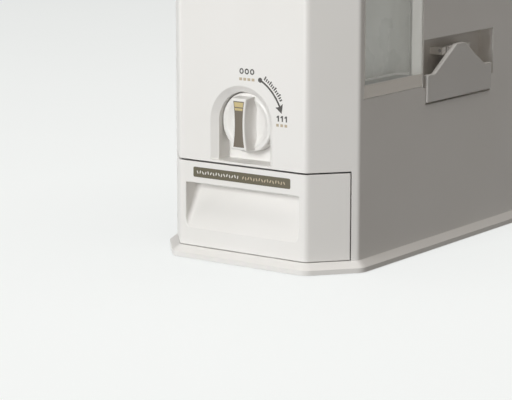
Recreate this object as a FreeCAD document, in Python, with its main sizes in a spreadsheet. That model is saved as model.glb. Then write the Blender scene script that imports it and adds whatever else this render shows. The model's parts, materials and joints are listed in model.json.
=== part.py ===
import FreeCAD, Part
import Sketcher
import math
import os

V = FreeCAD.Vector
os.makedirs("parts", exist_ok=True)
doc = FreeCAD.newDocument("RiceDispenser")

# ---------------------------------------------------------------- dimensions
# All in millimetres. +Z up, front faces -Y, origin under the middle of the foot.
DIMS = [
    ("body_width", 190.0), ("body_depth", 355.0), ("flat_half", 65.0),
    ("chamf_dx", 30.0), ("chamf_dy", 35.0), ("side_ref", 33.0), ("wall", 2.5),
    ("edge_round", 8.0), ("side_round", 6.0),
    ("foot_gap", 0.8), ("lip_top", 4.8), ("plinth_top", 10.0), ("overhang", 6.5),
    ("shell_top", 350.0),
    ("drawer_low", 10.6), ("drawer_top", 83.8), ("panel_low", 85.1),
    ("drawer_wrap", 38.8), ("drawer_side_gap", 1.0),
    ("scoop_half", 58.3), ("scoop_low", 26.0), ("scoop_top", 65.3), ("scoop_deep", 21.3),
    ("strip_half", 50.0), ("strip_mid", 74.9), ("strip_high", 8.6),
    ("knob_z", 120.4), ("arch_rad", 32.0), ("arch_inset", 5.6), ("arch_bevel", 4.8),
    ("arch_deep", 19.5), ("arch_floor", 87.3),
    ("knob_rad", 25.5), ("rim_deep", 8.6), ("bar_proud", 3.4),
    ("bar_end_half", 7.4), ("bar_waist_half", 5.5), ("bar_tall_half", 21.6),
    ("inlay_end_half", 5.65), ("inlay_waist_half", 4.0), ("inlay_tall_half", 19.4),
    ("shaft_rad", 5.0), ("run_fit", 0.05),
    ("drum_rad", 28.5), ("drum_front", -150.5), ("drum_back", -36.0), ("drum_gap", 0.4),
    ("tank_half", 77.0), ("tank_front", -160.0), ("tank_back", 158.0),
    ("tank_low", 156.0), ("tank_top", 346.0),
    ("shelf_low", 153.0), ("shelf_top", 155.4),
    ("win_front", 8.5), ("win_back", 100.0), ("win_low", 144.2), ("win_high", 322.0),
    ("clear_front", 9.5), ("clear_back", 99.5), ("clear_low", 155.4), ("clear_high", 311.0),
    ("pane_thick", 1.2), ("liner_deep", 15.5),
    ("pocket_front", 101.3), ("pocket_back", 221.0), ("pocket_mid", 142.5),
    ("pocket_low", 127.6), ("pocket_high", 184.0), ("pocket_deep", 15.0),
    ("grip_front", 106.0), ("grip_back", 216.0), ("grip_low", 129.4), ("grip_step", 153.4),
    ("grip_top", 176.0), ("grip_proud", 1.9), ("grip_thick", 4.0),
    ("pin_rad", 1.5), ("pin_x", 89.5), ("pin_z", 171.0),
    ("tray_half", 83.2), ("tray_front", 24.4), ("tray_back", 236.0),
    ("tray_low", 13.0), ("tray_top", 77.0), ("tray_wall", 2.0),
    ("lid_low", 362.4), ("lid_top", 385.0), ("frame_top", 362.0),
    ("hinge_y", 163.0), ("hinge_z", 368.0),
]
sheet = doc.addObject("Spreadsheet::Sheet", "Dims")
for row, (name, value) in enumerate(DIMS, 1):
    sheet.set("A%d" % row, name)
    sheet.set("B%d" % row, repr(value))
    sheet.setAlias("B%d" % row, name)
doc.recompute()


class Q:
    """A length that carries its number and its spreadsheet expression."""
    def __init__(self, v, e):
        self.v = float(v)
        self.e = e

    def _o(self, o):
        return o if isinstance(o, Q) else Q(o, "%.9g" % o if o >= 0 else "(%.9g)" % o)

    def __add__(self, o):
        o = self._o(o)
        return Q(self.v + o.v, "(%s + %s)" % (self.e, o.e))

    def __radd__(self, o):
        return self._o(o) + self

    def __sub__(self, o):
        o = self._o(o)
        return Q(self.v - o.v, "(%s - %s)" % (self.e, o.e))

    def __rsub__(self, o):
        return self._o(o) - self

    def __mul__(self, o):
        o = self._o(o)
        return Q(self.v * o.v, "(%s * %s)" % (self.e, o.e))

    __rmul__ = __mul__

    def __truediv__(self, o):
        o = self._o(o)
        return Q(self.v / o.v, "(%s / %s)" % (self.e, o.e))

    def __neg__(self):
        return Q(-self.v, "(-1 * %s)" % self.e)


class Dim:
    pass


d = Dim()
for name, value in DIMS:
    setattr(d, name, Q(getattr(sheet, name), "Dims.%s" % name))


def num(q):
    return q.v if isinstance(q, Q) else float(q)


def bind(obj, prop, q):
    if isinstance(q, Q):
        obj.setExpression(prop, q.e)


subparts = []


def new_body(label, x=0, y=0, z=0):
    b = doc.addObject("PartDesign::Body", label)
    b.Label = label
    b.Placement = FreeCAD.Placement(V(num(x), num(y), num(z)), FreeCAD.Rotation())
    for ax, q in (("x", x), ("y", y), ("z", z)):
        bind(b, ".Placement.Base.%s" % ax, q)
    subparts.append(b)
    return b


ROLE = {"XY": "XY_Plane", "XZ": "XZ_Plane", "YZ": "YZ_Plane"}
count = [0]


def sketch(body, plane, at):
    """Sketch on one of the body's own planes, moved to the coordinate `at` along the plane's row axis."""
    count[0] += 1
    sk = body.newObject("Sketcher::SketchObject", "%s_sk%d" % (body.Label, count[0]))
    org = [f for f in body.Origin.OriginFeatures if f.Role == ROLE[plane]][0]
    sk.AttachmentSupport = [(org, "")]
    sk.MapMode = "FlatFace"
    off = -at if plane == "XZ" else at
    sk.AttachmentOffset = FreeCAD.Placement(V(0, 0, num(off)), FreeCAD.Rotation())
    bind(sk, ".AttachmentOffset.Base.z", off)
    return sk


def fix(sk, geo, pos, x, y):
    """Dimension a sketch point from the sketch origin."""
    for kind, q, axis in (("DistanceX", x, -2), ("DistanceY", y, -1)):
        if abs(num(q)) < 1e-9:
            sk.addConstraint(Sketcher.Constraint("PointOnObject", geo, pos, axis))
        else:
            i = sk.addConstraint(Sketcher.Constraint(kind, -1, 1, geo, pos, num(q)))
            bind(sk, "Constraints[%d]" % i, q)


def poly(sk, pts):
    first = None
    n = len(pts)
    for i in range(n):
        a, b = pts[i], pts[(i + 1) % n]
        g = sk.addGeometry(Part.LineSegment(V(num(a[0]), num(a[1]), 0), V(num(b[0]), num(b[1]), 0)), False)
        if first is None:
            first = g
    for i in range(n):
        sk.addConstraint(Sketcher.Constraint("Coincident", first + i, 2, first + (i + 1) % n, 1))
    for i in range(n):
        fix(sk, first + i, 1, pts[i][0], pts[i][1])
    return sk


def rect(sk, x0, y0, x1, y1):
    return poly(sk, [(x0, y0), (x1, y0), (x1, y1), (x0, y1)])


def circ(sk, x, y, r):
    g = sk.addGeometry(Part.Circle(V(num(x), num(y), 0), V(0, 0, 1), num(r)), False)
    i = sk.addConstraint(Sketcher.Constraint("Radius", g, num(r)))
    bind(sk, "Constraints[%d]" % i, r)
    fix(sk, g, 3, x, y)
    return sk


def arch(sk, half, low, mid):
    """Round-topped doorway: straight sides from `low` up to `mid`, then a half circle."""
    h, lo, m = num(half), num(low), num(mid)
    a = sk.addGeometry(Part.LineSegment(V(-h, lo, 0), V(h, lo, 0)), False)
    b = sk.addGeometry(Part.LineSegment(V(h, lo, 0), V(h, m, 0)), False)
    c = sk.addGeometry(Part.ArcOfCircle(Part.Circle(V(0, m, 0), V(0, 0, 1), h), 0, math.pi), False)
    e = sk.addGeometry(Part.LineSegment(V(-h, m, 0), V(-h, lo, 0)), False)
    for g1, p1, g2, p2 in ((a, 2, b, 1), (b, 2, c, 1), (c, 2, e, 1), (e, 2, a, 1)):
        sk.addConstraint(Sketcher.Constraint("Coincident", g1, p1, g2, p2))
    fix(sk, a, 1, -half, low)
    fix(sk, a, 2, half, low)
    fix(sk, c, 3, 0, mid)
    sk.addConstraint(Sketcher.Constraint("Vertical", b))
    for g, pos in ((b, 2), (e, 1)):
        i = sk.addConstraint(Sketcher.Constraint("DistanceY", -1, 1, g, pos, m))
        bind(sk, "Constraints[%d]" % i, mid)
    return sk


def waisted(sk, end_half, waist_half, tall_half, cx=0, cz=0):
    """Upright bar outline with straight ends and two concave sides."""
    e, w, t, x0, z0 = num(end_half), num(waist_half), num(tall_half), num(cx), num(cz)
    top = sk.addGeometry(Part.LineSegment(V(x0 + e, z0 + t, 0), V(x0 - e, z0 + t, 0)), False)
    lef = sk.addGeometry(Part.Arc(V(x0 - e, z0 + t, 0), V(x0 - w, z0, 0), V(x0 - e, z0 - t, 0)), False)
    bot = sk.addGeometry(Part.LineSegment(V(x0 - e, z0 - t, 0), V(x0 + e, z0 - t, 0)), False)
    rig = sk.addGeometry(Part.Arc(V(x0 + e, z0 - t, 0), V(x0 + w, z0, 0), V(x0 + e, z0 + t, 0)), False)
    fix(sk, top, 1, cx + end_half, cz + tall_half)
    fix(sk, top, 2, cx - end_half, cz + tall_half)
    fix(sk, bot, 1, cx - end_half, cz - tall_half)
    fix(sk, bot, 2, cx + end_half, cz - tall_half)
    sag = e - w
    rad = (t * t + sag * sag) / (2 * sag)
    for g in (lef, rig):
        # the two arcs run the same way round, so match each end to the corner it lies on
        for pos in (1, 2):
            p = sk.getPoint(g, pos)
            for h, hp in ((top, 1), (top, 2), (bot, 1), (bot, 2)):
                if sk.getPoint(h, hp).distanceToPoint(p) < 1e-6:
                    sk.addConstraint(Sketcher.Constraint("Coincident", g, pos, h, hp))
        sk.addConstraint(Sketcher.Constraint("Radius", g, rad))
    return sk


def pad(body, plane, lo, hi, draw):
    """Material from coordinate lo to hi (lo < hi) along the plane's row axis."""
    before = 0.0 if body.Tip is None else body.Shape.Volume
    sk = sketch(body, plane, lo)
    draw(sk)
    f = body.newObject("PartDesign::Pad", "%s_pad%d" % (body.Label, count[0]))
    f.Profile = sk
    f.Type = "Length"
    q = hi - lo
    f.Length = num(q)
    bind(f, "Length", q)
    f.Reversed = plane == "XZ"
    sk.Visibility = False
    doc.recompute()
    if "Invalid" in sk.State or not body.Shape.Volume > before + 1e-3:
        raise RuntimeError("pad %s added nothing" % f.Name)
    return f


def cut(body, plane, lo, hi, draw):
    """Cut from coordinate lo to hi (lo < hi), checked to have removed material."""
    before = body.Shape.Volume
    sk = sketch(body, plane, lo)
    draw(sk)
    f = body.newObject("PartDesign::Pocket", "%s_cut%d" % (body.Label, count[0]))
    f.Profile = sk
    f.Type = "Length"
    q = hi - lo
    f.Length = num(q)
    bind(f, "Length", q)
    f.Reversed = plane != "XZ"
    sk.Visibility = False
    doc.recompute()
    after = body.Shape.Volume
    if not after < before - 1e-3:
        raise RuntimeError("cut %s removed nothing (%.2f -> %.2f)" % (f.Name, before, after))
    return f


def edges(body, pred):
    shp = body.Shape
    out = []
    for i, e in enumerate(body.Tip.Shape.Edges, 1):
        if pred(e):
            out.append("Edge%d" % i)
    return out


def fillet(body, pred, r):
    names = edges(body, pred)
    if not names:
        raise RuntimeError("no edges to round on " + body.Label)
    base = body.Tip
    f = body.newObject("PartDesign::Fillet", "%s_fillet%d" % (body.Label, len(body.Group)))
    f.Base = (base, names)
    f.Radius = num(r)
    bind(f, "Radius", r)
    doc.recompute()
    if "Invalid" in f.State or "Error" in f.State or not f.Shape.isValid():
        raise RuntimeError("fillet failed on %s: %d edges" % (body.Label, len(names)))
    return f


def chamfer2(body, pred, size, size2, good):
    """Chamfer with two leg lengths; the legs are swapped if `good` says the shape came out the other way round."""
    names = edges(body, pred)
    base = body.Tip
    f = body.newObject("PartDesign::Chamfer", "%s_chamfer%d" % (body.Label, len(body.Group)))
    f.Base = (base, names)
    f.ChamferType = "Two distances"
    f.Size = num(size)
    f.Size2 = num(size2)
    bind(f, "Size", size)
    bind(f, "Size2", size2)
    doc.recompute()
    if not good(f.Shape):
        f.FlipDirection = True
        doc.recompute()
        if not good(f.Shape):
            raise RuntimeError("chamfer on " + body.Label)
    return f


def ends(e):
    return [v.Point for v in e.Vertexes]


def near(a, b, tol=0.02):
    return abs(a - b) < tol


def line_along(e, axis, tol=1e-4):
    if e.Curve.TypeId != "Part::GeomLine" or len(e.Vertexes) != 2:
        return False
    a, b = ends(e)
    t = b - a
    return abs(abs(t.dot(axis)) - t.Length) < tol


def mid(e):
    return e.valueAt((e.FirstParameter + e.LastParameter) / 2)


X, Y, Z = V(1, 0, 0), V(0, 1, 0), V(0, 0, 1)

# ---------------------------------------------------------------- shared outline
half_w = d.body_width / 2
half_d = d.body_depth / 2
y0 = -half_d                      # front plane
yb = half_d                       # rear plane
ye = y0 + d.chamf_dy              # where chamfer meets side wall
ys = y0 + d.side_ref              # datum for the window and the handle in the side wall
ang = math.atan2(num(d.chamf_dy), num(d.chamf_dx))
TA = math.tan(ang / 2)            # corner factor, front / chamfer
TB = math.tan((math.pi / 2 - ang) / 2)   # corner factor, chamfer / side
ux, uy = math.cos(ang), math.sin(ang)


def outline(off, back=None, back_off=None):
    """Six-sided plan of the body, moved inwards by off (outwards if negative)."""
    yk = (yb - off) if back is None else back
    return [(-(d.flat_half - off * TA), y0 + off), (d.flat_half - off * TA, y0 + off),
            (half_w - off, ye + off * TB), (half_w - off, yk),
            (-(half_w - off), yk), (-(half_w - off), ye + off * TB)]


def vert_round(body, off, zlo):
    """Round the four front vertical corners of an outline moved inwards by off."""
    xa, xb = num(d.flat_half) - num(off) * TA, num(half_w) - num(off)
    yf = num(y0) + num(off)
    yc = num(ye) + num(off) * TB
    big = lambda e: line_along(e, Z) and near(abs(mid(e).x), xa) and near(mid(e).y, yf)
    small = lambda e: line_along(e, Z) and near(abs(mid(e).x), xb) and near(mid(e).y, yc)
    fillet(body, big, max(num(d.edge_round) - num(off), 1.0) if off else d.edge_round)
    fillet(body, small, max(num(d.side_round) - num(off), 1.0) if off else d.side_round)


# ---------------------------------------------------------------- base plinth
b = new_body("base_plinth")
w = d.overhang
pad(b, "XY", d.foot_gap, d.plinth_top, lambda s: poly(s, outline(-w)))
fillet(b, lambda e: line_along(e, Z) and mid(e).y < num(ys) + 20, d.edge_round + w)
fillet(b, lambda e: line_along(e, Z) and mid(e).y > num(yb), 10.0)
chamfer2(b, lambda e: near(mid(e).z, num(d.plinth_top)) and near(e.BoundBox.ZLength, 0),
         d.plinth_top - d.lip_top, w,
         lambda s: near(max(f.BoundBox.XLength for f in s.Faces if near(f.BoundBox.ZLength, 0)
                            and near(f.BoundBox.ZMax, num(d.plinth_top))), num(d.body_width), 0.3))
# inside is open from above down to the floor, within a rim wide enough to carry the shell's screw posts
cut(b, "XY", Q(3.2, "3.2"), d.plinth_top + 1, lambda s: poly(s, outline(d.wall + 8.5)))
# seats for the four feet
for sx in (-1, 1):
    for sy in (-1, 1):
        cut(b, "XY", d.foot_gap - 0.5, d.foot_gap + 1.2,
            lambda s, sx=sx, sy=sy: circ(s, sx * 70.0, sy * 140.0, 8.2))

# feet: four rubber pads
b = new_body("rubber_feet")
pad(b, "XY", Q(0, "0"), d.foot_gap + 1.2, lambda s: [circ(s, sx * 70.0, sy * 140.0, 8.0) for sx in (-1, 1) for sy in (-1, 1)])

# ---------------------------------------------------------------- body shell
def loft(body, kind, sketches, ruled=True):
    f = body.newObject("PartDesign::%sLoft" % kind, "%s_loft%d" % (body.Label, len(body.Group)))
    f.Profile = sketches[0]
    f.Sections = sketches[1:]
    f.Ruled = ruled
    doc.recompute()
    return f


b = new_body("body_shell")
pad(b, "XY", d.plinth_top, d.shell_top, lambda s: poly(s, outline(0)))
vert_round(b, 0, 0)
fillet(b, lambda e: line_along(e, Z) and near(mid(e).y, num(yb)), 3.0)
cut(b, "XY", d.plinth_top - 1, d.shell_top + 1, lambda s: poly(s, outline(d.wall, back=yb + 5)))
# drawer mouth: the front flat and most of each chamfer
so = d.drawer_wrap + d.drawer_side_gap
px, py = d.flat_half + so * ux, y0 + so * uy


def mouth(s):
    a = (px + 10 * uy, py - 10 * ux)
    c = (px - 6 * uy, py + 6 * ux)
    poly(s, [(-a[0], y0 - 20), (a[0], y0 - 20), a, c, (-c[0], c[1]), (-a[0], a[1])])


cut(b, "XY", d.plinth_top - 1, d.panel_low, mouth)
# knob recess: a deep arched doorway with a bevelled rim
inner_arch = d.arch_rad - d.arch_inset
pad(b, "XZ", y0 + 1.2, y0 + d.arch_bevel + 2, lambda s: arch(s, d.arch_rad + 2.0, d.panel_low, d.knob_z))
pad(b, "XZ", y0 + d.arch_bevel, y0 + d.arch_deep + 2.2, lambda s: arch(s, inner_arch + 2.0, d.panel_low, d.knob_z))
s1 = sketch(b, "XZ", y0)
arch(s1, d.arch_rad, d.arch_floor, d.knob_z)
s2 = sketch(b, "XZ", y0 + d.arch_bevel)
arch(s2, inner_arch, d.arch_floor, d.knob_z)
v = b.Shape.Volume
loft(b, "Subtractive", [s1, s2])
assert b.Shape.Volume < v - 100
cut(b, "XZ", y0 + d.arch_bevel - 0.01, y0 + d.arch_deep, lambda s: arch(s, inner_arch, d.arch_floor, d.knob_z))
cut(b, "XZ", y0 + d.arch_deep - 1, y0 + d.arch_deep + 4, lambda s: circ(s, 0, d.knob_z, 8.0))
# soften the rim of the doorway and the edges round the drawer mouth
fillet(b, lambda e: near(e.BoundBox.YLength, 0, 1e-3) and near(mid(e).y, num(y0)) and abs(mid(e).x) < 33
       and mid(e).z > num(d.arch_floor) + 5 and e.BoundBox.ZLength > 20, 1.0)


def rim_floor(e):
    return (near(e.BoundBox.YLength, 0, 1e-3) and near(mid(e).y, num(y0)) and near(mid(e).z, num(d.arch_floor)))


fillet(b, rim_floor, 0.6)


def lower_rim(e):
    m = mid(e)
    if not near(m.z, num(d.panel_low)) or not near(e.BoundBox.ZLength, 0, 1e-3):
        return False
    # only the outer skin line
    if abs(m.x) <= num(d.flat_half) - 3:
        return near(m.y, num(y0))
    line = num(y0) + (abs(m.x) - num(d.flat_half)) * num(d.chamf_dy) / num(d.chamf_dx)
    return abs(m.y - line) < 0.9 and m.y < num(py) + 0.5


fillet(b, lower_rim, 0.6)
# side window: shallow rebate for the pane, opening, and a slanted rear jamb
pane_in = half_w - d.pane_thick
cut(b, "YZ", pane_in, half_w + 2, lambda s: rect(s, ys + d.win_front - 0.15, d.win_low - 0.15, ys + d.win_back + 0.15, d.win_high + 0.15))
cut(b, "YZ", half_w - d.wall - 2, half_w + 2, lambda s: rect(s, ys + d.clear_front, d.clear_low, ys + d.clear_back, d.clear_high))
pad(b, "XY", d.clear_low, d.clear_high, lambda s: poly(s, [
    (pane_in, ys + d.clear_back), (pane_in - 4.0, ys + 90.0), (pane_in - 6.0, ys + 90.0), (pane_in - 6.0, ys + 98.8),
    (half_w - d.wall + 0.3, ys + 98.8), (half_w - d.wall + 0.3, ys + d.clear_back + 0.2), (pane_in, ys + d.clear_back + 0.2)]))
# handle pockets in both side walls: wide above, narrower below
for sx in (1, -1):
    lo = (half_w - d.wall - 1) if sx > 0 else (-half_w - 1)
    hi = (half_w + 1) if sx > 0 else (-(half_w - d.wall - 1))
    cut(b, "YZ", lo, hi, lambda s: poly(s, [
        (ys + d.pocket_front, d.pocket_mid), (ys + d.grip_front - 0.5, d.pocket_mid), (ys + d.grip_front - 0.5, d.pocket_low),
        (ys + d.grip_back + 0.5, d.pocket_low), (ys + d.grip_back + 0.5, d.pocket_mid), (ys + d.pocket_back, d.pocket_mid),
        (ys + d.pocket_back, d.pocket_high), (ys + d.pocket_front, d.pocket_high)]))
# corner posts for the screws into the plinth, and rear ribs for the back panel
POST = []
for sx in (1, -1):
    for yc, zt in ((ys + 8.0, 50.0), (yb - 7.3, 60.0)):
        POST.append((sx * 88.3, yc))
    x1, x2 = (84.5, 92.6) if sx > 0 else (-92.6, -84.5)
    pad(b, "XY", d.plinth_top, Q(50, "50"), lambda s: rect(s, x1, ys + 3.5, x2, ys + 13))
    pad(b, "XY", d.plinth_top, d.shell_top - 4, lambda s: rect(s, x1, yb - 12, x2, yb - d.wall - 0.1))
cut(b, "XY", d.plinth_top - 1, Q(24, "24"), lambda s: [circ(s, x, y, 1.55) for x, y in POST])
BACK_Z = (40.0, 130.0, 240.0, 325.0)
cut(b, "XZ", yb - 11, yb, lambda s: [circ(s, sx * 88.5, z, 1.55) for sx in (1, -1) for z in BACK_Z])

# ---------------------------------------------------------------- plinth posts and screws
b = [s for s in subparts if s.Label == "base_plinth"][0]
pad(b, "XY", d.foot_gap + 0.4, d.plinth_top, lambda s: [circ(s, x, y, 4.5) for x, y in POST])
cut(b, "XY", d.foot_gap - 1, Q(4, "4"), lambda s: [circ(s, x, y, 3.3) for x, y in POST])
cut(b, "XY", Q(3.5, "3.5"), d.plinth_top + 1, lambda s: [circ(s, x, y, 1.7) for x, y in POST])


def screws(label, plane, spots, head_lo, head_hi, stem_lo, stem_hi, head_r, stem_r):
    """A group of identical screws, each a head disc and a stem, with a cross slot in the head."""
    sb = new_body(label)
    pad(sb, plane, Q(head_lo, "(%.6g)" % head_lo), Q(head_hi, "(%.6g)" % head_hi), lambda s: [circ(s, x, y, head_r) for x, y in spots])
    pad(sb, plane, Q(stem_lo, "(%.6g)" % stem_lo), Q(stem_hi, "(%.6g)" % stem_hi), lambda s: [circ(s, x, y, stem_r) for x, y in spots])
    return sb


def slots(sb, plane, lo, hi, spots, r):
    for a, c in ((r, 0.35), (0.35, r)):
        cut(sb, plane, Q(lo, "(%.6g)" % lo), Q(hi, "(%.6g)" % hi),
            lambda s: [rect(s, x - a, y - c, x + a, y + c) for x, y in spots])


sb = screws("plinth_screws", "XY", POST, 2.2, 4.0, 3.9, 22.0, 3.0, 1.5)
slots(sb, "XY", 2.0, 3.2, POST, 1.9)

# ---------------------------------------------------------------- back panel
b = new_body("back_panel")
pad(b, "XZ", yb - d.wall, yb, lambda s: rect(s, -(half_w - d.wall - 0.2), d.plinth_top + 0.2, half_w - d.wall - 0.2, d.shell_top - 0.2))
spots = [(sx * 88.5, z) for sx in (1, -1) for z in BACK_Z]
cut(b, "XZ", yb - d.wall - 1, yb + 1, lambda s: [circ(s, x, z, 1.8) for x, z in spots])
# two stiffening grooves pressed into the sheet
for z in (90.0, 190.0, 290.0):
    cut(b, "XZ", yb - 0.8, yb + 1, lambda s, z=z: rect(s, -70.0, z - 2, 70.0, z + 2))
hb = num(yb)
sb = screws("back_screws", "XZ", spots, hb, hb + 1.8, hb - 10.0, hb + 0.1, 3.0, 1.5)
slots(sb, "XZ", hb + 0.9, hb + 2.0, spots, 1.9)

# ---------------------------------------------------------------- knob
b = new_body("knob", 0, y0, d.knob_z)
rev = b.newObject("Sketcher::SketchObject", "knob_profile")
org = [f for f in b.Origin.OriginFeatures if f.Role == "XY_Plane"][0]
rev.AttachmentSupport = [(org, "")]
rev.MapMode = "FlatFace"
rd, kr = d.rim_deep, d.knob_rad
poly(rev, [(0, rd + 2.4), (14.5, rd + 2.4), (17.2, rd + 1.9), (20.2, rd - 0.1), (21.4, rd - 0.5), (22.6, rd), (kr - 0.9, rd), (kr, rd + 0.9),
           (kr, rd + 10.0), (kr - 2.2, rd + 10.0), (kr - 2.2, rd + 4.6), (8.5, rd + 4.6), (8.5, rd + 10.0), (0, rd + 10.0)])
f = b.newObject("PartDesign::Revolution", "knob_turned")
f.Profile = rev
f.ReferenceAxis = (rev, ["V_Axis"])
f.Angle = 360
doc.recompute()
# finger bar: waisted, lofted from the disc up to its face in front of the panel
# its foot flares out into the disc
BAR = [(d.rim_deep + 3, 2.6, 3.2, 1.2), (d.rim_deep + 0.5, 1.0, 1.4, 0.9), (d.rim_deep - 2.5, 0.45, 0.6, 0.6), (-d.bar_proud, 0.0, 0.0, 0.0)]
flare = []
for depth, de, dw, dt in BAR:
    sec = sketch(b, "XZ", depth)
    waisted(sec, d.bar_end_half + de, d.bar_waist_half + dw, d.bar_tall_half + dt)
    sec.Visibility = False
    flare.append(sec)
v = b.Shape.Volume
loft(b, "Additive", flare, ruled=False)
assert b.Shape.Volume > v + 1000
fillet(b, lambda e: near(mid(e).y, -num(d.bar_proud)) and e.BoundBox.YLength < 0.01, 1.3)
cut(b, "XZ", -d.bar_proud - 1, -d.bar_proud + 0.6, lambda s: waisted(s, d.inlay_end_half, d.inlay_waist_half, d.inlay_tall_half))
# the bar is hollow from behind and the hub has a square socket
cut(b, "XZ", d.rim_deep + 4.0, d.rim_deep + 12.0, lambda s: rect(s, -3.05, -3.05, 3.05, 3.05))

b = new_body("knob_inlay", 0, y0, d.knob_z)
pad(b, "XZ", -d.bar_proud + 0.05, -d.bar_proud + 0.6, lambda s: waisted(s, d.inlay_end_half - 0.12, d.inlay_waist_half - 0.12, d.inlay_tall_half - 0.12))


def mark(lo, hi):
    # half widths follow the waisted side of the inlay
    e, wst, t = num(d.inlay_end_half), num(d.inlay_waist_half), num(d.inlay_tall_half)
    sag = e - wst
    rad = (t * t + sag * sag) / (2 * sag)
    hw = lambda z: wst + rad - math.sqrt(rad * rad - z * z) - 0.75
    return [(-hw(lo), lo), (hw(lo), lo), (hw(hi), hi), (-hw(hi), hi)]


MARKS = [(14.55, 18.5), (11.6, 13.6)]
for lo, hi in MARKS:
    cut(b, "XZ", -d.bar_proud - 1, -d.bar_proud + 0.25, lambda s: poly(s, mark(lo, hi)))
b = new_body("knob_marks", 0, y0, d.knob_z)
pad(b, "XZ", -d.bar_proud, -d.bar_proud + 0.25, lambda s: [poly(s, mark(lo, hi)) for lo, hi in MARKS])

# ---------------------------------------------------------------- shaft and metering drum
b = new_body("drum_shaft", 0, 0, d.knob_z)
pad(b, "XZ", y0 + d.arch_deep, Q(-26, "(-26)"), lambda s: circ(s, 0, 0, d.shaft_rad))
pad(b, "XZ", y0 + d.rim_deep + 4.5, y0 + d.arch_deep + 0.5, lambda s: rect(s, -3.0, -3.0, 3.0, 3.0))
fillet(b, lambda e: near(mid(e).y, -26) and e.BoundBox.YLength < 0.01, 1.0)

b = new_body("front_bush", 0, 0, d.knob_z)
pad(b, "XZ", y0 + d.arch_deep, y0 + d.arch_deep + 2.2, lambda s: circ(s, 0, 0, 8.0))
pad(b, "XZ", y0 + d.arch_deep + 2.2, y0 + d.arch_deep + 3.2, lambda s: circ(s, 0, 0, 10.0))
cut(b, "XZ", y0 + d.arch_deep - 1, y0 + d.arch_deep + 5, lambda s: circ(s, 0, 0, d.shaft_rad + d.run_fit))

b = new_body("metering_drum", 0, 0, d.knob_z)
pad(b, "XZ", d.drum_front, d.drum_back, lambda s: circ(s, 0, 0, d.drum_rad))
cut(b, "XZ", d.drum_front + 3, d.drum_back - 3, lambda s: poly(s, [(0, 8.5), (6.0, 7.0), (12.0, 3.0), (20.2, 20.2), (20.2, 41.0), (-20.2, 41.0), (-20.2, 20.2), (-12.0, 3.0), (-6.0, 7.0)]))
cut(b, "XZ", d.drum_front - 1, d.drum_back + 1, lambda s: circ(s, 0, 0, d.shaft_rad))

hr = d.drum_rad + d.drum_gap
b = new_body("drum_housing", 0, 0, d.knob_z)
hf, hbk = d.drum_front - 3.4, d.drum_back + 0.4
pad(b, "XZ", hf, hbk, lambda s: circ(s, 0, 0, hr + 2.8))
pad(b, "XY", Q(18, "18"), Q(32.6, "32.6"), lambda s: rect(s, -22.5, d.drum_front, 22.5, d.drum_back - 1))
pad(b, "XY", Q(-32.4, "(-32.4)"), Q(-28, "(-28)"), lambda s: rect(s, -38.0, d.drum_front, 31.4, d.drum_back - 1))
cut(b, "XZ", d.drum_front - 0.4, hbk + 1, lambda s: circ(s, 0, 0, hr))
cut(b, "XZ", hf - 1, hf + 5, lambda s: circ(s, 0, 0, 8.0))
cut(b, "XY", Q(15, "15"), Q(40, "40"), lambda s: rect(s, -19.5, d.drum_front + 3.5, 19.5, d.drum_back - 3.5))
cut(b, "YZ", Q(15, "15"), Q(40, "40"), lambda s: rect(s, d.drum_front + 3.5, -18.5, d.drum_back - 3.5, 18.0))

b = new_body("shaft_seal", 0, 0, d.knob_z)
pad(b, "XZ", hf, hf + 3.0, lambda s: circ(s, 0, 0, 8.0))
cut(b, "XZ", hf - 1, hf + 5, lambda s: circ(s, 0, 0, d.shaft_rad + 0.1))

b = new_body("housing_cover", 0, 0, d.knob_z)
pad(b, "XZ", hbk, hbk + 3.0, lambda s: circ(s, 0, 0, hr + 2.8))
cut(b, "XZ", hbk - 1, hbk + 5, lambda s: circ(s, 0, 0, 8.0))

b = new_body("rear_bush", 0, 0, d.knob_z)
pad(b, "XZ", hbk, hbk + 3.0, lambda s: circ(s, 0, 0, 8.0))
pad(b, "XZ", hbk + 3.0, hbk + 4.0, lambda s: circ(s, 0, 0, 10.0))
cut(b, "XZ", hbk - 1, hbk + 6, lambda s: circ(s, 0, 0, d.shaft_rad + d.run_fit))

# ---------------------------------------------------------------- chute and divider over the drawer bay
cf, cb = d.drum_front + 1.1, d.drum_back - 1.1
b = new_body("rice_chute")
pad(b, "XZ", cf, cb, lambda s: poly(s, [(32.0, 88.0), (68.0, 88.0), (68.0, 121.0), (52.0, 141.5), (32.0, 141.5)]))
pad(b, "XY", Q(88.0, "88"), Q(90.4, "90.4"), lambda s: rect(s, 66.0, cf, 78.0, cb))
cut(b, "XZ", cf + 2, cb - 2, lambda s: poly(s, [(31.0, 101.5), (34.0, 101.5), (34.0, 87.0), (66.0, 87.0), (66.0, 120.5), (51.0, 139.5), (31.0, 139.5)]))

b = new_body("divider_plate")
pad(b, "XY", Q(85.7, "85.7"), Q(88.0, "88"), lambda s: rect(s, -(half_w - d.wall), ys + 4, half_w - d.wall, yb - 14))
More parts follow.
